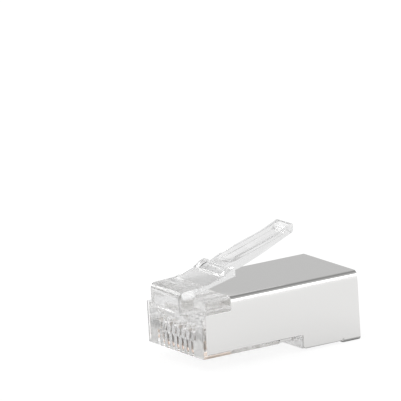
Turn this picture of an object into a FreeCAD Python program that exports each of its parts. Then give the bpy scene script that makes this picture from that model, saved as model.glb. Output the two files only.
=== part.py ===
import FreeCAD, Part
import math
import os
from FreeCAD import Vector

# Shielded eight-position modular plug, not yet crimped. Millimetres.
# X runs across the width, Y from the mating face back to the cable end, Z up to the latch side.
# The origin is the middle of the mating face's lower edge, on the plane of the contact side.

# Driving dimensions of the plug
WIDTH = 11.68
TOP = 6.60
LENGTH = 21.10
SHEET = 0.20
STEP_Y = 13.35
STEP_DROP = 1.20
FLAP_Y = 18.85
HALF = WIDTH / 2
INNER_HALF = HALF - SHEET
INNER_TOP = TOP - SHEET
FLAP_OUTER_Z = -STEP_DROP - 0.30
FLAP_INNER_Z = FLAP_OUTER_Z + SHEET
FIT_GAP = 0.03
SEAT_HALF = INNER_HALF - FIT_GAP
SEAT_TOP = INNER_TOP - FIT_GAP
FLAP_SEAT_Z = FLAP_INNER_Z + FIT_GAP
BEND_OUTER = 0.45
BEND_INNER = BEND_OUTER - SHEET
EDGE_GAP = 0.02
CLEAR = 0.10

# Clear housing
LIP_Y = 0.52
FACE_HALF = HALF + 0.05
RAIL_HALF = HALF - 0.04
LOWER_CORNER = 0.14
UPRIGHT_CORNER = 0.12
CROWN_CORNER = 0.25
SHELF_Z = 4.80
SHELF_Y = 0.65
SHIELD_CUT_Y = 4.05
SHIELD_CUT_Z = 5.02
CUT_RADIUS = 0.40
RAIL_TOP_Z = 0.42
COLLAR_PROUD = 0.34
COLLAR_HALF = 4.87
COLLAR_SLOPE = 0.42
COLLAR_INSET = 0.25
COLLAR_ROOT = 0.30

# Contacts, numbered from the -X side
CONTACT_COUNT = 8
PITCH = 1.02
BLADE = 0.32
SLOT = 0.40
BLADE_FRONT_Y = 0.50
BLADE_REAR_Y = 4.42
BLADE_EDGE_Z = 0.03
BLADE_SHOULDER_Z = 1.80
SLOT_REAR_Y = 4.50
SLOT_FACE_Z = 1.85
SLOT_WALL_Y = 0.42
TINE_YS = (1.55, 2.61, 3.67)
TINE_WIDTH = 0.46
LOW_WIRE_Z = 3.00
HIGH_WIRE_Z = 3.75
WIRE_RADIUS = 0.52
WIRE_FRONT_Y = 1.00
BLADE_FRONT_RADIUS = 0.35
BLADE_REAR_RADIUS = 0.25
TINE_POINT = 0.22
TINE_SHORT = 0.06

# Wire and jacket cavity
CAVITY_HALF = 4.45
CAVITY_Y = 5.95
CAVITY_FLOOR_Z = 2.35
CAVITY_ROOF_Z = 4.60
TONGUE_END_Y = 10.20
TONGUE_WIDTH = 0.94
TONGUE_TOP_Z = 3.20
TONGUE_RADIUS = 0.25
RAMP_Y = 12.40
JACKET_Y = 13.20
JACKET_HALF = 3.17
JACKET_FLOOR_Z = -0.35
JACKET_ROOF_Z = 5.60
JACKET_RADIUS = 1.40
SIDE_FLOOR_Z = 0.90
SIDE_ROOF_Z = 5.00

# Strain-relief window and its bar
WINDOW_HALF = 4.20
WINDOW_YS = (15.15, 18.10)
BAR_HALF = 3.07
BAR_REAR_Y = 17.45
BAR_WEB = 0.30
BAR_WEB_LENGTH = 0.35
BAR_INNER_Z = JACKET_FLOOR_Z - 0.30
BAR_TOOTH_Z = JACKET_FLOOR_Z - 0.10
BAR_TOOTH = 0.55

# Latch: the points are (y, z) of its side outline
LATCH_HALF = 3.25
NOSE_Y = -1.15
NOSE_LOW_Z = 3.95
NOSE_BULGE_Z = 5.25
NOSE_ROOT_Y = 2.00
NOSE_RADIUS = 0.50
NOSE_TOP_RADIUS = 0.85
NOSE_TOP_Z = 7.52
LATCH_TOP_Z = 7.60
WEB_UNDER_Z = 7.20
NOTCH_Y = 0.95
HINGE_Y = 1.55
HINGE_GAP = 0.16
HEEL_Y = 2.15
HEEL_Z = 6.86
HEEL_FLAT = 0.20
PLATE_UNDER = (2.75, 7.28)
PLATE_START = (2.35, 7.66)
PLATE_END = (4.85, 8.35)
SHOULDER_CREST = (5.75, 8.92)
SHOULDER_Y = 6.45
SHOULDER_Z = 9.15
SHOULDER_UNDER_Z = 8.12
PANEL_DEPTH = 0.17
PANEL_RISE = (5.10, 8.60)
RAIL_WIDTH = 0.40
SADDLE_HALF = 2.20
SADDLE = ((5.0, 8.35), (5.60, 8.72), (SHOULDER_Y + CLEAR, 8.95))
TAIL_HALF = 1.65
TAIL_ROOT_Y = 5.90
TAIL_KNEE = (7.55, 9.82)
TAIL_BEND = (13.10, 11.42)
TAIL_LIP = (14.95, 12.20)
TAIL_TIP_Y = 15.67
TAIL_TIP_ZS = (11.52, 12.48)
TAIL_TIP_RADIUS = 0.45
TAIL_UNDER = ((8.05, 8.50, 1.5), (10.85, 9.50, 3.0))
TAIL_FLOOR_DEPTH = 0.50
TAIL_RAIL = 0.40
CHANNEL_END = ((14.35, 11.36), (14.78, 12.05))

# Folded shield
SHIELD_FRONT_Y = LIP_Y + EDGE_GAP
SHIELD_EDGE_Z = 0.44
TAB_YS = (10.25, 11.80)
TAB_REACH = 4.00
TAB_ROOT_Z = 1.00
TAB_CORNER = 0.25
TAB_GAP = 0.05
STEP_GAP = 0.05
STEP_RADIUS = 0.35
SEAM = 0.16
SEAM_SLANT = 0.10
RELIEF = 0.22
RELIEF_DEPTH = 0.25
CORNER = 0.10
CUT_FRONT_RADIUS = 0.15


def box(xs, ys, zs):
    """Axis-aligned block between the two values given for each axis."""
    size = [high - low for low, high in (xs, ys, zs)]
    return Part.makeBox(*size, Vector(xs[0], ys[0], zs[0]))


def rounded_wire(corners, place):
    """Closed outline through 2-D corners; a third value in a corner is its radius."""
    points = [Vector(corner[0], corner[1], 0) for corner in corners]
    radii = [corner[2] if len(corner) > 2 else 0.0 for corner in corners]
    starts, ends, middles = [], [], []
    for index, point in enumerate(points):
        back = (points[index - 1] - point).normalize()
        ahead = (points[(index + 1) % len(points)] - point).normalize()
        half_angle = back.getAngle(ahead) / 2
        setback = radii[index] / math.tan(half_angle)
        starts.append(point + back * setback)
        ends.append(point + ahead * setback)
        bisector = back + ahead
        reach = radii[index] / math.sin(half_angle) - radii[index]
        middles.append(point + bisector.normalize() * reach if radii[index] else point)
    edges = []
    for index, radius in enumerate(radii):
        if radius:
            arc = Part.Arc(place(starts[index]), place(middles[index]), place(ends[index]))
            edges.append(arc.toShape())
        after = (index + 1) % len(points)
        if ends[index].distanceToPoint(starts[after]) > 1e-6:
            edges.append(Part.makeLine(place(ends[index]), place(starts[after])))
    return Part.Wire(edges)


def across(corners, xs):
    """Solid of a side outline, given as (y, z), carried across X."""
    wire = rounded_wire(corners, lambda p: Vector(xs[0], p.x, p.y))
    return Part.Face(wire).extrude(Vector(xs[1] - xs[0], 0, 0))


def along(corners, ys):
    """Solid of a front outline, given as (x, z), carried along Y."""
    wire = rounded_wire(corners, lambda p: Vector(p.x, ys[0], p.y))
    return Part.Face(wire).extrude(Vector(0, ys[1] - ys[0], 0))


def upright(corners, zs):
    """Solid of a plan outline, given as (x, y), carried up Z."""
    wire = rounded_wire(corners, lambda p: Vector(p.x, p.y, zs[0]))
    return Part.Face(wire).extrude(Vector(0, 0, zs[1] - zs[0]))


def rectangle(half, low, high, radius):
    """Corners of a rectangle centred on X = 0, all with one radius."""
    return [(-half, low, radius), (half, low, radius), (half, high, radius), (-half, high, radius)]


def both_sides(shape):
    """The shape and its mirror image in the X = 0 plane, as one."""
    return shape.fuse(shape.mirror(Vector(0, 0, 0), Vector(1, 0, 0)))


def contact_x(number):
    return (number - (CONTACT_COUNT + 1) / 2) * PITCH


def wire_z(number):
    """Height of a contact's conductor: the even ones run above the odd ones."""
    return HIGH_WIRE_Z if number % 2 == 0 else LOW_WIRE_Z


def housing_envelope():
    """Outer form of the housing below its latch, with the seats that the shield lies in."""
    profile = [(LIP_Y, 0), (STEP_Y, 0), (STEP_Y, -STEP_DROP), (FLAP_Y, -STEP_DROP),
               (FLAP_Y, FLAP_SEAT_Z), (LENGTH, FLAP_SEAT_Z), (LENGTH, SEAT_TOP), (LIP_Y, SEAT_TOP)]
    section = rectangle(SEAT_HALF, FLAP_SEAT_Z, SEAT_TOP, BEND_INNER)
    core = across(profile, (-SEAT_HALF, SEAT_HALF)).common(along(section, (LIP_Y, LENGTH)))
    above_shelf = box((-HALF, HALF), (0, SHELF_Y), (SHELF_Z, TOP))
    face_plate = box((-FACE_HALF, FACE_HALF), (0, LIP_Y), (0, SHELF_Z))
    crown_low = SHIELD_CUT_Z + EDGE_GAP
    crown_rear = SHIELD_CUT_Y - EDGE_GAP
    crown_side = [(SHELF_Y, crown_low), (crown_rear, crown_low, CUT_RADIUS),
                  (crown_rear, TOP), (SHELF_Y, TOP)]
    crown = along(rectangle(RAIL_HALF, crown_low, TOP, CROWN_CORNER), (SHELF_Y, crown_rear))
    crown = crown.common(across(crown_side, (-HALF, HALF)))
    rail = both_sides(box((SEAT_HALF - CLEAR, RAIL_HALF), (0, STEP_Y), (0, RAIL_TOP_Z)))
    plan = [(-FACE_HALF, 0, UPRIGHT_CORNER), (FACE_HALF, 0, UPRIGHT_CORNER),
            (FACE_HALF, LENGTH), (-FACE_HALF, LENGTH)]
    front = along(rectangle(FACE_HALF, 0, TOP + 1, LOWER_CORNER), (0, STEP_Y))
    rear = box((-HALF, HALF), (STEP_Y, LENGTH), (FLAP_SEAT_Z, TOP))
    body = core.cut(above_shelf).fuse([face_plate, crown, rail])
    body = body.common(front.fuse(rear)).common(upright(plan, (FLAP_SEAT_Z, TOP)))
    tab_seat = [(TAB_REACH - TAB_GAP, -CLEAR), (HALF, -CLEAR), (HALF, RAIL_TOP_Z + CLEAR),
                (SEAT_HALF, RAIL_TOP_Z + CLEAR), (SEAT_HALF, SHEET + EDGE_GAP, BEND_INNER),
                (TAB_REACH - TAB_GAP, SHEET + EDGE_GAP)]
    return body.cut(both_sides(along(tab_seat, (TAB_YS[0] - TAB_GAP, TAB_YS[1] + TAB_GAP))))


def rear_collar():
    """Rim that stands behind the shield round the cable entry, with sloping ends."""
    root = LENGTH - COLLAR_ROOT
    corners = [(-COLLAR_HALF, root), (COLLAR_HALF, root), (COLLAR_HALF, LENGTH),
               (COLLAR_HALF - COLLAR_SLOPE, LENGTH + COLLAR_PROUD),
               (COLLAR_SLOPE - COLLAR_HALF, LENGTH + COLLAR_PROUD), (-COLLAR_HALF, LENGTH)]
    return upright(corners, (FLAP_SEAT_Z + COLLAR_INSET, SEAT_TOP - COLLAR_INSET))


def latch_root():
    """Nose that bulges from the mating face and carries the thin web that the latch bends at."""
    web_end = HINGE_Y - HINGE_GAP / 2
    profile = [(NOSE_ROOT_Y, NOSE_LOW_Z), (0, NOSE_LOW_Z), (NOSE_Y, NOSE_BULGE_Z, NOSE_RADIUS),
               (NOSE_Y, NOSE_TOP_Z, NOSE_TOP_RADIUS), (web_end, LATCH_TOP_Z), (web_end, WEB_UNDER_Z),
               (NOTCH_Y, WEB_UNDER_Z, 0.2), (NOTCH_Y, SEAT_TOP), (NOSE_ROOT_Y, SEAT_TOP)]
    plan = [(-LATCH_HALF, NOSE_Y, NOSE_RADIUS), (LATCH_HALF, NOSE_Y, NOSE_RADIUS),
            (LATCH_HALF, NOSE_ROOT_Y), (-LATCH_HALF, NOSE_ROOT_Y)]
    nose = across(profile, (-LATCH_HALF, LATCH_HALF))
    return nose.common(upright(plan, (NOSE_LOW_Z, LATCH_TOP_Z)))


def contact_slot(number):
    """Slot for one blade, open below and low in the mating face, up into its wire channel."""
    centre = contact_x(number)
    xs = (centre - SLOT / 2, centre + SLOT / 2)
    face_part = box(xs, (-CLEAR, SLOT_REAR_Y), (-CLEAR, SLOT_FACE_Z))
    inner_part = box(xs, (SLOT_WALL_Y, SLOT_REAR_Y), (SLOT_FACE_Z - CLEAR, wire_z(number)))
    return face_part.fuse(inner_part)


def wire_channel(number):
    """Round channel that one conductor slides into from the cavity."""
    start = Vector(contact_x(number), WIRE_FRONT_Y, wire_z(number))
    return Part.makeCylinder(WIRE_RADIUS, CAVITY_Y - WIRE_FRONT_Y + CLEAR, start, Vector(0, 1, 0))


def cavity():
    """Space for the conductors and the jacket, open at the cable end, as a moulding core leaves it."""
    rear = LENGTH + COLLAR_PROUD + CLEAR
    fan_profile = [(CAVITY_Y, CAVITY_FLOOR_Z), (RAMP_Y, CAVITY_FLOOR_Z), (JACKET_Y, SIDE_FLOOR_Z),
                   (rear, SIDE_FLOOR_Z), (rear, SIDE_ROOF_Z), (JACKET_Y, SIDE_ROOF_Z),
                   (RAMP_Y, CAVITY_ROOF_Z), (CAVITY_Y, CAVITY_ROOF_Z)]
    fan = across(fan_profile, (-CAVITY_HALF, CAVITY_HALF))
    jacket = along(rectangle(JACKET_HALF, JACKET_FLOOR_Z, JACKET_ROOF_Z, JACKET_RADIUS), (JACKET_Y, rear))
    space = fan.fuse(jacket)
    for number in range(2, CONTACT_COUNT + 1, 2):
        centre = contact_x(number)
        half = TONGUE_WIDTH / 2
        plan = [(centre - half, CAVITY_Y - CLEAR), (centre + half, CAVITY_Y - CLEAR),
                (centre + half, TONGUE_END_Y, TONGUE_RADIUS), (centre - half, TONGUE_END_Y, TONGUE_RADIUS)]
        space = space.cut(upright(plan, (CAVITY_FLOOR_Z - CLEAR, TONGUE_TOP_Z)))
    return space


def strain_relief_window():
    """Window in the contact side, less the bar that hangs in it from a thin web at its front."""
    plan = [(-WINDOW_HALF, WINDOW_YS[0]), (WINDOW_HALF, WINDOW_YS[0]),
            (WINDOW_HALF, WINDOW_YS[1]), (-WINDOW_HALF, WINDOW_YS[1])]
    window = upright(plan, (-STEP_DROP - CLEAR, SIDE_FLOOR_Z + CLEAR))
    front = WINDOW_YS[0] - CLEAR
    web_end = WINDOW_YS[0] + BAR_WEB_LENGTH
    tooth = BAR_REAR_Y - BAR_TOOTH
    bar_profile = [(front, -STEP_DROP), (BAR_REAR_Y, -STEP_DROP), (BAR_REAR_Y, BAR_TOOTH_Z, 0.15),
                   (tooth, BAR_TOOTH_Z), (tooth - 0.2, BAR_INNER_Z), (web_end, BAR_INNER_Z),
                   (web_end, -STEP_DROP + BAR_WEB, 0.1), (front, -STEP_DROP + BAR_WEB)]
    return window.cut(across(bar_profile, (-BAR_HALF, BAR_HALF)))


def housing():
    """Clear moulding with its contact slots, wire channels, cavity, window and latch root."""
    body = housing_envelope().fuse([rear_collar(), latch_root()])
    cuts = [cavity(), strain_relief_window()]
    for number in range(1, CONTACT_COUNT + 1):
        cuts += [contact_slot(number), wire_channel(number)]
    return body.cut(cuts).removeSplitter()


def lowered(point, depth):
    return (point[0], point[1] - depth)


def latch_plate():
    """Wide front of the latch, from its half of the web back to the locking shoulders."""
    web_start = HINGE_Y + HINGE_GAP / 2
    above = LENGTH
    profile = [(web_start, WEB_UNDER_Z), (HEEL_Y, WEB_UNDER_Z), (HEEL_Y, HEEL_Z),
               (HEEL_Y + HEEL_FLAT, HEEL_Z), (*PLATE_UNDER, 0.2), (SHOULDER_Y, SHOULDER_UNDER_Z),
               (SHOULDER_Y, SHOULDER_Z, 0.1), SHOULDER_CREST, (*PLATE_END, 0.2),
               PLATE_START, (web_start, LATCH_TOP_Z)]
    plate = across(profile, (-LATCH_HALF, LATCH_HALF))
    start = lowered(PLATE_START, PANEL_DEPTH)
    end = lowered(PLATE_END, PANEL_DEPTH)
    panel = [start, end, PANEL_RISE, (PANEL_RISE[0], above), (start[0], above)]
    saddle = [*SADDLE, (SADDLE[-1][0], above), (SADDLE[0][0], above)]
    panel_half = LATCH_HALF - RAIL_WIDTH
    return plate.cut([across(panel, (-panel_half, panel_half)), across(saddle, (-SADDLE_HALF, SADDLE_HALF))])


def latch_tail():
    """Narrow tail, a shallow channel between rails that ends in a raised lip."""
    low, high = TAIL_TIP_ZS
    above = LENGTH
    profile = [(TAIL_ROOT_Y, SHOULDER_UNDER_Z - CLEAR), (SHOULDER_Y, SHOULDER_UNDER_Z), *TAIL_UNDER,
               (TAIL_TIP_Y, low, TAIL_TIP_RADIUS), (TAIL_TIP_Y, high, 0.3), TAIL_LIP, (*TAIL_BEND, 3.0),
               (*TAIL_KNEE, 1.0), (TAIL_ROOT_Y, SADDLE[-1][1] + CLEAR)]
    tail = across(profile, (-TAIL_HALF, TAIL_HALF))
    floor = [lowered(TAIL_KNEE, TAIL_FLOOR_DEPTH), lowered(TAIL_BEND, TAIL_FLOOR_DEPTH)]
    channel_start = (SADDLE[-1][0] + 0.05, SHOULDER_Z + CLEAR)
    channel = [channel_start, *floor, *CHANNEL_END, (CHANNEL_END[-1][0], above), (channel_start[0], above)]
    plan = [(-TAIL_HALF, TAIL_ROOT_Y), (TAIL_HALF, TAIL_ROOT_Y),
            (TAIL_HALF, TAIL_TIP_Y, 0.5), (-TAIL_HALF, TAIL_TIP_Y, 0.5)]
    channel_half = TAIL_HALF - TAIL_RAIL
    tail = tail.common(upright(plan, (SEAT_TOP, above)))
    return tail.cut(across(channel, (-channel_half, channel_half)))


def latch_lever():
    return latch_plate().fuse(latch_tail()).removeSplitter()


def shield_sleeve():
    """Sheet bent round the housing, before its ends and edges are cut to their outline."""
    outer = along(rectangle(HALF, FLAP_OUTER_Z, TOP, BEND_OUTER), (SHIELD_FRONT_Y, LENGTH))
    inner = along(rectangle(INNER_HALF, FLAP_INNER_Z, INNER_TOP, BEND_INNER), (0, LENGTH + CLEAR))
    return outer.cut(inner)


def shield():
    """Folded sheet-metal shield with side tabs and two flaps that meet under the cable end."""
    step = STEP_Y + STEP_GAP
    relief_top = -STEP_DROP + RELIEF_DEPTH
    side = [(SHIELD_FRONT_Y, SHIELD_EDGE_Z, CORNER), (step, SHIELD_EDGE_Z, CORNER),
            (step, -STEP_DROP, STEP_RADIUS), (FLAP_Y - RELIEF, -STEP_DROP),
            (FLAP_Y - RELIEF, relief_top, CORNER), (FLAP_Y, relief_top, CORNER),
            (FLAP_Y, FLAP_OUTER_Z), (LENGTH, FLAP_OUTER_Z), (LENGTH, TOP), (SHIELD_CUT_Y, TOP),
            (SHIELD_CUT_Y, SHIELD_CUT_Z, CUT_RADIUS), (SHIELD_FRONT_Y, SHIELD_CUT_Z, CUT_FRONT_RADIUS)]
    sheet = shield_sleeve().common(across(side, (-HALF, HALF)))
    seam = [(-SEAM / 2, FLAP_Y - CLEAR), (SEAM / 2, FLAP_Y - CLEAR),
            (SEAM / 2 - SEAM_SLANT, LENGTH + CLEAR), (-SEAM / 2 - SEAM_SLANT, LENGTH + CLEAR)]
    sheet = sheet.cut(upright(seam, (FLAP_OUTER_Z - CLEAR, FLAP_INNER_Z + CLEAR)))
    tab_section = [(TAB_REACH, 0), (HALF, 0, BEND_OUTER), (HALF, TAB_ROOT_Z), (INNER_HALF, TAB_ROOT_Z),
                   (INNER_HALF, SHEET, BEND_INNER), (TAB_REACH, SHEET)]
    tab_plan = [(TAB_REACH, TAB_YS[0], TAB_CORNER), (HALF, TAB_YS[0]), (HALF, TAB_YS[1]),
                (TAB_REACH, TAB_YS[1], TAB_CORNER)]
    tab = along(tab_section, TAB_YS).common(upright(tab_plan, (0, TAB_ROOT_Z)))
    return sheet.fuse(both_sides(tab)).removeSplitter()


def contact(number):
    """Stamped blade: a smooth edge for the jack's wire and tines that pierce the conductor."""
    tip_z = wire_z(number) - WIRE_RADIUS - TINE_SHORT
    side_z = tip_z - TINE_POINT
    crown = [(BLADE_REAR_Y, BLADE_SHOULDER_Z)]
    for centre in reversed(TINE_YS):
        rear, front = centre + TINE_WIDTH / 2, centre - TINE_WIDTH / 2
        crown += [(rear, BLADE_SHOULDER_Z, CORNER), (rear, side_z), (centre, tip_z),
                  (front, side_z), (front, BLADE_SHOULDER_Z, CORNER)]
    corners = [(BLADE_FRONT_Y, BLADE_EDGE_Z, BLADE_FRONT_RADIUS),
               (BLADE_REAR_Y, BLADE_EDGE_Z, BLADE_REAR_RADIUS)] + crown
    corners.append((BLADE_FRONT_Y, BLADE_SHOULDER_Z))
    centre = contact_x(number)
    return across(corners, (centre - BLADE / 2, centre + BLADE / 2))


def main():
    os.makedirs("parts", exist_ok=True)
    nodes = {"housing": housing(), "shield": shield(), "latch_lever": latch_lever()}
    for number in range(1, CONTACT_COUNT + 1):
        nodes["contact_%d" % number] = contact(number)
    for name, shape in nodes.items():
        solids = shape.Solids
        if len(solids) != 1 or not shape.isValid():
            raise ValueError("%s: %d solids, valid %s" % (name, len(solids), shape.isValid()))
        solids[0].exportStep("parts/%s.step" % name)
        print("%-12s %8.2f mm3" % (name, shape.Volume))


main()
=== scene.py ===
import math

import bmesh
import bpy
from mathutils import Matrix, Vector


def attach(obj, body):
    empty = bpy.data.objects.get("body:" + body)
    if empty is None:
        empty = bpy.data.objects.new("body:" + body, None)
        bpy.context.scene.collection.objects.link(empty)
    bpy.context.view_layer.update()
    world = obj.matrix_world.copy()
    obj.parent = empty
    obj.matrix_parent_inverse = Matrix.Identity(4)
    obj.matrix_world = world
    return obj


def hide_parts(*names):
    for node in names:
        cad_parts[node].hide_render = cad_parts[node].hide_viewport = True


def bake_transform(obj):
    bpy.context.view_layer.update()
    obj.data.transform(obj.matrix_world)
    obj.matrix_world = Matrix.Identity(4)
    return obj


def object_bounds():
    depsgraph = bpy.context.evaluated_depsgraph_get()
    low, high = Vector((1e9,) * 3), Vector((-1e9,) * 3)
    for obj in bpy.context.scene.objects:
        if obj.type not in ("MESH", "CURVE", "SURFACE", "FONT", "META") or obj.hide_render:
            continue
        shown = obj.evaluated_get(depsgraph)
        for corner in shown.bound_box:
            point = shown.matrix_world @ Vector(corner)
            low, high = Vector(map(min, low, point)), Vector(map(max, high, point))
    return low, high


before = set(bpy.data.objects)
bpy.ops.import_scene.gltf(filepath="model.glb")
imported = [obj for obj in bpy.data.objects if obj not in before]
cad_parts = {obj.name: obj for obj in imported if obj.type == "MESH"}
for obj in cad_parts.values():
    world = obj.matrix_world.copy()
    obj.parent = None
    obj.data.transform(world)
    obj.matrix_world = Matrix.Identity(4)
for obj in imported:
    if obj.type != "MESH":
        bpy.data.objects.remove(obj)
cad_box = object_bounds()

# Looks of a shielded eight-position modular plug, not yet crimped, in the frame of its CAD model: X runs
# across the plug, Y from the mating face back to the cable end, and Z up to the latch side.
# Every length named here is in millimetres. Blender's are in metres, so MM multiplies it where it is used.

MM = 0.001
UP = Vector((0, 0, 1))
ALONG = Vector((0, 1, 0))


# Camera

VIEW_AZIMUTH = math.radians(58.56)
VIEW_ELEVATION = math.radians(13.46)
VIEW_ROLL = math.radians(-3.36)
LENS = 718.2
SENSOR = 36.0
DISTANCE = 905
AIM = Vector((-1.2, 5.1, 16.4))
CLIP_NEAR = 50
CLIP_FAR = 20000


def camera_axes():
    """The camera's right, up and backward directions."""
    level = math.cos(VIEW_ELEVATION)
    back = Vector((math.sin(VIEW_AZIMUTH) * level, -math.cos(VIEW_AZIMUTH) * level,
                   math.sin(VIEW_ELEVATION)))
    level_right = Vector((math.cos(VIEW_AZIMUTH), math.sin(VIEW_AZIMUTH), 0))
    right = Matrix.Rotation(VIEW_ROLL, 3, back) @ level_right
    return right, back.cross(right), back


def add_camera():
    right, up, back = camera_axes()
    data = bpy.data.cameras.new("camera")
    data.lens = LENS
    data.sensor_width = SENSOR
    data.clip_start = CLIP_NEAR * MM
    data.clip_end = CLIP_FAR * MM
    camera = bpy.data.objects.new("camera", data)
    bpy.context.scene.collection.objects.link(camera)
    turn = Matrix((right, up, back)).transposed().to_4x4()
    camera.matrix_world = Matrix.Translation(AIM * MM + back * (DISTANCE * MM)) @ turn
    bpy.context.scene.camera = camera


# Nodes: wherever a number or colour is asked for, another node's output will do

def feed(tree, socket, value):
    if isinstance(value, bpy.types.NodeSocket):
        tree.links.new(value, socket)
    else:
        socket.default_value = value


def add_node(tree, kind, inputs=None, **settings):
    node = tree.nodes.new(kind)
    for name, value in settings.items():
        setattr(node, name, value)
    for name, value in (inputs or {}).items():
        feed(tree, node.inputs[name], value)
    return node


def add_place(tree):
    """Coordinates of the piece itself, in metres."""
    return add_node(tree, "ShaderNodeTexCoord").outputs["Object"]


def add_noise(tree, scale, detail, stretch):
    """Noise with about scale grains to the metre, longer along an axis whose stretch is below 1."""
    place = add_node(tree, "ShaderNodeMapping", {"Vector": add_place(tree), "Scale": stretch})
    inputs = {"Vector": place.outputs["Vector"], "Scale": scale, "Detail": detail}
    return add_node(tree, "ShaderNodeTexNoise", inputs).outputs["Fac"]


def add_range(tree, source, low, high):
    """What goes from low to high as the source goes from 0 to 1."""
    inputs = {"Value": source, "To Min": low, "To Max": high}
    return add_node(tree, "ShaderNodeMapRange", inputs).outputs["Result"]


def add_ramp(tree, source, start, end):
    """What goes from 0 to 1 as the source, in metres, goes from start to end, in millimetres."""
    inputs = {"Value": source, "From Min": start * MM, "From Max": end * MM}
    return add_node(tree, "ShaderNodeMapRange", inputs).outputs["Result"]


def add_maths(tree, operation, *values, **settings):
    node = add_node(tree, "ShaderNodeMath", operation=operation, **settings)
    for socket, value in zip(node.inputs, values):
        feed(tree, socket, value)
    return node.outputs["Value"]


def add_axes(tree, place):
    return add_node(tree, "ShaderNodeSeparateXYZ", {"Vector": place}).outputs


def add_zone(tree, along, up):
    """1 where Y and Z are both within their ranges, and 0 elsewhere."""
    axes = add_axes(tree, add_place(tree))
    inside = []
    for axis, (low, high) in (("Y", along), ("Z", up)):
        middle = (low + high) / 2 * MM
        half = (high - low) / 2 * MM
        inside.append(add_maths(tree, "COMPARE", axes[axis], middle, half))
    return add_maths(tree, "MULTIPLY", *inside)


def colour_sockets(sockets):
    return [socket for socket in sockets if socket.type == "RGBA"]


def mix_colours(tree, share, first, second):
    node = add_node(tree, "ShaderNodeMix", {"Factor": share}, data_type="RGBA")
    for socket, colour in zip(colour_sockets(node.inputs), (first, second)):
        feed(tree, socket, colour)
    return colour_sockets(node.outputs)[0]


def mix_shaders(tree, share, first, second):
    return add_node(tree, "ShaderNodeMixShader", {0: share, 1: first, 2: second}).outputs["Shader"]


# Materials. A grain is its scale, detail and stretch, and a bump its strength and depth.

CLEAR = (1, 1, 1, 1)
CLEAR_IOR = 1.585
CLEAR_GRAIN = (250, 1, (1, 1, 1))
CLEAR_BUMP = (0.25, 0.03)
BODY_ROUGHNESS = (0.07, 0.13)
LATCH_ROUGHNESS = (0.06, 0.11)

# The step of the contact side is matt
MATT_YS = (12.7, 13.5)
MATT_ZS = (-1.5, 0.5)
MATT_ROUGHNESS = 0.3

SHEET = (0.93, 0.925, 0.915, 1)
SHEET_GRAIN = (1500, 4, (1, 0.15, 1))
SHEET_BUMP = (0.1, 0.01)
SHEET_ROUGHNESS = (0.08, 0.16)

# A contact is gold below GOLD_TOP, less up to GOLD_RAGGED, and painted dark grey on its front edge just
# above the gold, as painted shade of the slots
GOLD = (1.0, 0.86, 0.76, 1)
NICKEL = (0.88, 0.87, 0.86, 1)
PAINTED_SLOT_SHADE = (0.36, 0.35, 0.34, 1)
GOLD_TOP = 0.5
GOLD_FADE = 0.15
GOLD_RAGGED = 0.12
SLOT_SHADE_YS = (0.1, 1.1)
SLOT_SHADE_ZS = (0.6, 1.5)
CONTACT_GRAIN = (2500, 3, (1, 1, 0.2))
CONTACT_ROUGHNESS = (0.05, 0.12)


def new_material(name, inputs):
    """Material, its node tree and its shader, which has these numbers and colours all over."""
    material = bpy.data.materials.new(name)
    material.use_nodes = True
    tree = material.node_tree
    shader = tree.nodes["Principled BSDF"]
    for socket, value in inputs.items():
        feed(tree, shader.inputs[socket], value)
    return material, tree, shader


def set_bump(tree, shader, height, strength, depth):
    inputs = {"Height": height, "Strength": strength, "Distance": depth * MM}
    feed(tree, shader.inputs["Normal"], add_node(tree, "ShaderNodeBump", inputs).outputs["Normal"])


def clear_plastic(name, roughness):
    looks = {"Base Color": CLEAR, "Transmission Weight": 1, "IOR": CLEAR_IOR}
    material, tree, shader = new_material(name, looks)
    grain = add_noise(tree, *CLEAR_GRAIN)
    matt = add_zone(tree, MATT_YS, MATT_ZS)
    rough = add_maths(tree, "MULTIPLY_ADD", matt, MATT_ROUGHNESS, add_range(tree, grain, *roughness))
    feed(tree, shader.inputs["Roughness"], rough)
    set_bump(tree, shader, grain, *CLEAR_BUMP)
    return material


def nickel_sheet():
    material, tree, shader = new_material("nickel_sheet", {"Base Color": SHEET, "Metallic": 1})
    grain = add_noise(tree, *SHEET_GRAIN)
    feed(tree, shader.inputs["Roughness"], add_range(tree, grain, *SHEET_ROUGHNESS))
    set_bump(tree, shader, grain, *SHEET_BUMP)
    return material


def plated_contact_painted_shade():
    material, tree, shader = new_material("plated_contact_painted_shade", {"Metallic": 1})
    grain = add_noise(tree, *CONTACT_GRAIN)
    height = add_axes(tree, add_place(tree))["Z"]
    ragged = add_maths(tree, "MULTIPLY_ADD", grain, GOLD_RAGGED * MM, height)
    over_gold = add_ramp(tree, ragged, GOLD_TOP, GOLD_TOP + GOLD_FADE)
    plating = mix_colours(tree, over_gold, GOLD, NICKEL)
    # Painted shade: the dark grey patch on the front edges stands for the shadow inside the slots
    colour = mix_colours(tree, add_zone(tree, SLOT_SHADE_YS, SLOT_SHADE_ZS), plating, PAINTED_SLOT_SHADE)
    feed(tree, shader.inputs["Base Color"], colour)
    feed(tree, shader.inputs["Roughness"], add_range(tree, grain, *CONTACT_ROUGHNESS))
    return material


# Shapes: copies of the CAD nodes, with rounded edges and the small bends of made things

WELD = 0.0001
FLAT_ANGLE = math.radians(1)
EDGE_ANGLE = math.radians(35)
SMOOTH_ANGLE = math.radians(40)
ROUND_SEGMENTS = 4
ROUND_PROFILE = 0.5

# A zone is the range of a point's distance from the middle plane, of its Y and of its Z
ANY = (-math.inf, math.inf)


def above(low):
    return low, math.inf


def below(high):
    return -math.inf, high


def in_zone(point, zone):
    place = (abs(point.x), point.y, point.z)
    return all(low < value < high for value, (low, high) in zip(place, zone))


def in_any(point, zones):
    return any(in_zone(point, zone) for zone in zones)


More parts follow.
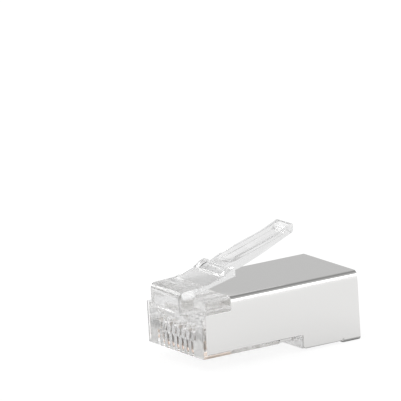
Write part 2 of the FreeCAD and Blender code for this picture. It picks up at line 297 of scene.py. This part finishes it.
def node_mesh(node):
    """Editable copy of a CAD node's mesh, its flat faces merged into polygons."""
    work = bmesh.new()
    work.from_mesh(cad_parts[node].data)
    bmesh.ops.remove_doubles(work, verts=work.verts, dist=WELD * MM)
    bmesh.ops.dissolve_limit(work, angle_limit=FLAT_ANGLE, verts=work.verts, edges=work.edges)
    return work


def slice_across(work, axis, places):
    """Cuts the mesh across an axis at these places, so that it can curve there."""
    for place in places:
        parts = work.verts[:] + work.edges[:] + work.faces[:]
        point = axis * (place * MM)
        bmesh.ops.bisect_plane(work, geom=parts, dist=WELD * MM, plane_co=point, plane_no=axis)


def round_edges(work, width, zones, left_sharp=()):
    """Rounds the sharp edges with their middles in any of the zones, and in none of those left sharp."""
    edges = []
    for edge in work.edges:
        middle = (edge.verts[0].co + edge.verts[1].co) / (2 * MM)
        wanted = in_any(middle, zones) and not in_any(middle, left_sharp)
        if wanted and edge.is_manifold and edge.calc_face_angle() > EDGE_ANGLE:
            edges.append(edge)
    bmesh.ops.bevel(work, geom=edges, offset=width * MM, offset_type="OFFSET", segments=ROUND_SEGMENTS,
                    profile=ROUND_PROFILE, affect="EDGES", clamp_overlap=False)


def new_piece(work, name, material):
    mesh = bpy.data.meshes.new(name)
    work.to_mesh(mesh)
    work.free()
    # Normals carried over from the CAD mesh don't fit the new edges
    if "custom_normal" in mesh.attributes:
        mesh.attributes.remove(mesh.attributes["custom_normal"])
    mesh.shade_smooth()
    mesh.set_sharp_from_angle(angle=SMOOTH_ANGLE)
    paint(mesh, material)
    piece = bpy.data.objects.new(name, mesh)
    bpy.context.scene.collection.objects.link(piece)
    normals = piece.modifiers.new("normals", "WEIGHTED_NORMAL")
    normals.keep_sharp = True
    return piece


def paint(mesh, material):
    mesh.materials.clear()
    mesh.materials.append(material)


# Shield: its sides lean in by LEAN at 1 mm above LEAN_START, and by the square of the rise elsewhere. The
# small bends at its side tabs stay as the CAD model has them.
SHIELD_ROUND = 0.05
SHIELD_LOOPS = (4.6, 5.0, 5.3, 5.6, 5.8, 6.0, 6.1)
SIDE_X = 5
LEAN_START = 4.9
LEAN = 0.06
SIDE_TABS = (ANY, (9.9, 12.2), below(1.2))


def lean_in(point):
    rise = point.z / MM - LEAN_START
    if rise > 0 and abs(point.x) > SIDE_X * MM:
        point.x -= math.copysign(LEAN * rise * rise * MM, point.x)


def make_shield(material):
    work = node_mesh("shield")
    slice_across(work, UP, SHIELD_LOOPS)
    for vert in work.verts:
        lean_in(vert.co)
    round_edges(work, SHIELD_ROUND, [(ANY, ANY, ANY)], left_sharp=[SIDE_TABS])
    piece = new_piece(work, "shield_sheet", material)
    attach(piece, "plug_body")
    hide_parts("shield")


# Housing: the wall above the slots' open front is made thicker, and the edges that show are rounded
HOUSING_ROUND = 0.05
SLOT_WALL_Y = 0.42
SLOT_WALL_FOOT = 1.8
THICK_WALL_Y = 0.98
FACE_SIDES = (above(4.0), below(0.62), below(4.9))
FACE_TOP = (ANY, below(0.3), (1.95, 4.9))
CROWN = (ANY, below(4.1), above(4.7))
LOWER_RAILS = (above(5.55), below(13.4), below(0.45))
CABLE_RIM = (ANY, above(21.05), ANY)
HINGE_FACE = (ANY, (1.44, 1.50), ANY)


def make_housing(material):
    work = node_mesh("housing")
    for vert in work.verts:
        if abs(vert.co.y - SLOT_WALL_Y * MM) < WELD * MM and vert.co.z > SLOT_WALL_FOOT * MM:
            vert.co.y = THICK_WALL_Y * MM
    shown = [FACE_SIDES, FACE_TOP, CROWN, LOWER_RAILS, CABLE_RIM]
    round_edges(work, HOUSING_ROUND, shown, left_sharp=[HINGE_FACE])
    piece = new_piece(work, "clear_housing", material)
    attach(piece, "plug_body")
    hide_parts("housing")


# Latch: its root is carried forward to ROOT_Y, just inside the nose, and it is cut across at each of
# HINGE_LOOPS
LATCH_ROUND = 0.06
ROOT_Y = 1.45
ROOT_DEPTH = 0.02
HINGE_LOOPS = (1.55, 1.65, 1.75, 1.85)
FREE_OF_ROOT = (ANY, above(1.9), ANY)


def make_latch(material):
    work = node_mesh("latch_lever")
    front = min(vert.co.y for vert in work.verts)
    for vert in work.verts:
        if vert.co.y < front + ROOT_DEPTH * MM:
            vert.co.y = ROOT_Y * MM
    slice_across(work, ALONG, HINGE_LOOPS)
    round_edges(work, LATCH_ROUND, [FREE_OF_ROOT])
    piece = new_piece(work, "latch_arm", material)
    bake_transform(piece)
    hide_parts("latch_lever")


def finish_contacts(material):
    for name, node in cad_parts.items():
        if name.startswith("contact"):
            paint(node.data, material)


# Floor: each kind of ray sees its own levels, which are the grey of the lit floor, where shadows fall,
# and the strength of a glow. Rays through the plastic see a painted pool of light: one pair within
# NEAR_REACH of the frame's middle, glowing brighter, and another beyond FAR_REACH. Mirrored rays shorter
# than
# TOUCH_REACH see a darker floor, a painted contact shadow.

FLOOR_HALF = 3000
FLOOR_GAP = 0.03
PLAIN_LEVELS = (0.85, 0)
CAMERA_LEVELS = (0.16, 0.90)
GLOSSY_LEVELS = (0.52, 0.38)
PAINTED_CONTACT_SHADOW_LEVELS = (0.25, 0)
TOUCH_REACH = 1.2
THROUGH_NEAR_LEVELS = (0.16, 1.0)
THROUGH_FAR_LEVELS = (0.16, 0.69)
NEAR_REACH = 25
FAR_REACH = 40


def floor_shader(tree, grey, glow):
    lit = add_node(tree, "ShaderNodeBsdfDiffuse", {"Color": (grey, grey, grey, 1)})
    light = add_node(tree, "ShaderNodeEmission", {"Strength": glow})
    both = add_node(tree, "ShaderNodeAddShader", {0: lit.outputs["BSDF"], 1: light.outputs["Emission"]})
    return both.outputs["Shader"]


def floor_through_plastic(tree):
    # Painted pool of light: rays through the plastic see the floor glow brighter near the plug than far
    # away
    away = add_node(tree, "ShaderNodeVectorMath", {0: add_place(tree)}, operation="LENGTH")
    share = add_ramp(tree, away.outputs["Value"], NEAR_REACH, FAR_REACH)
    return mix_shaders(tree, share, floor_shader(tree, *THROUGH_NEAR_LEVELS),
                       floor_shader(tree, *THROUGH_FAR_LEVELS))


def floor_mirrored(tree, ray_length):
    # Painted contact shadow: the floor is darker in mirrored rays shorter than TOUCH_REACH
    share = add_ramp(tree, ray_length, 0, TOUCH_REACH)
    return mix_shaders(tree, share, floor_shader(tree, *PAINTED_CONTACT_SHADOW_LEVELS),
                       floor_shader(tree, *GLOSSY_LEVELS))


def floor_material():
    material = bpy.data.materials.new("floor")
    material.use_nodes = True
    tree = material.node_tree
    tree.nodes.clear()
    path = add_node(tree, "ShaderNodeLightPath").outputs
    kinds = (("Is Glossy Ray", floor_mirrored(tree, path["Ray Length"])),
             ("Is Transmission Ray", floor_through_plastic(tree)),
             ("Is Camera Ray", floor_shader(tree, *CAMERA_LEVELS)))
    shader = floor_shader(tree, *PLAIN_LEVELS)
    for ray, seen in kinds:
        shader = mix_shaders(tree, path[ray], shader, seen)
    add_node(tree, "ShaderNodeOutputMaterial", {"Surface": shader})
    return material


def add_floor():
    height = cad_box[0][2] - FLOOR_GAP * MM
    bpy.ops.mesh.primitive_plane_add(size=2 * FLOOR_HALF * MM, location=(0, 0, height))
    floor = bpy.context.object
    floor.name = "floor"
    paint(floor.data, floor_material())


# World: white, and a studio room for mirrored rays, whose brightness follows the sine of their height

WHITE = 1.0
ROOM_BANDS = ((0.0, 0.98), (0.12, 0.82), (0.24, 0.69), (0.40, 0.65),
              (0.60, 0.64), (0.74, 0.56), (0.85, 0.34), (1.0, 0.50))


def add_bands(tree, source, bands):
    """Curve through pairs of a value and its level."""
    top = max(level for value, level in bands)
    node = add_node(tree, "ShaderNodeFloatCurve", {"Value": source})
    points = node.mapping.curves[0].points
    points[0].location = (bands[0][0], bands[0][1] / top)
    points[1].location = (bands[-1][0], bands[-1][1] / top)
    for value, level in bands[1:-1]:
        points.new(value, level / top)
    node.mapping.update()
    return add_maths(tree, "MULTIPLY", node.outputs["Value"], top)


def add_world():
    world = bpy.data.worlds.new("studio")
    bpy.context.scene.world = world
    world.use_nodes = True
    tree = world.node_tree
    tree.nodes.clear()
    direction = add_node(tree, "ShaderNodeTexCoord").outputs["Generated"]
    level = add_bands(tree, add_axes(tree, direction)["Z"], ROOM_BANDS)
    room = add_node(tree, "ShaderNodeBackground", {"Strength": level}).outputs["Background"]
    white = add_node(tree, "ShaderNodeBackground", {"Strength": WHITE}).outputs["Background"]
    path = add_node(tree, "ShaderNodeLightPath").outputs
    mirrored = add_maths(tree, "SUBTRACT", path["Is Glossy Ray"], path["Is Transmission Ray"],
                         use_clamp=True)
    seen = mix_shaders(tree, mirrored, white, room)
    add_node(tree, "ShaderNodeOutputWorld", {"Surface": seen})


# Lamps: name, place, side of the square, and power in watts

LAMPS = (("right_light", (1000, 620, 220), 450, 1.0),
         ("left_light", (-830, -230, 500), 400, 1.8))
LAMP_AIM = (0, 10, 5)


def metres(place):
    return Vector([length * MM for length in place])


def add_lamp(name, place, size, power):
    """Square lamp turned to the plug, and hidden from light that has passed through plastic."""
    data = bpy.data.lights.new(name, "AREA")
    data.shape = "SQUARE"
    data.size = size * MM
    data.energy = power
    lamp = bpy.data.objects.new(name, data)
    lamp.visible_transmission = False
    bpy.context.scene.collection.objects.link(lamp)
    turn = (metres(LAMP_AIM) - metres(place)).to_track_quat("-Z", "Y").to_matrix().to_4x4()
    lamp.matrix_world = Matrix.Translation(metres(place)) @ turn


# Everything together. Light crosses many clear walls on its way, so it needs many bounces.

CLEAR_BOUNCES = 64
GLOSSY_BOUNCES = 32

add_camera()
add_floor()
add_world()
for lamp in LAMPS:
    add_lamp(*lamp)

finish_contacts(plated_contact_painted_shade())
make_shield(nickel_sheet())
make_housing(clear_plastic("clear_body", BODY_ROUGHNESS))
make_latch(clear_plastic("clear_latch", LATCH_ROUGHNESS))

scene = bpy.context.scene
scene.view_settings.view_transform = "Standard"
scene.cycles.max_bounces = CLEAR_BOUNCES
scene.cycles.transmission_bounces = CLEAR_BOUNCES
scene.cycles.glossy_bounces = GLOSSY_BOUNCES
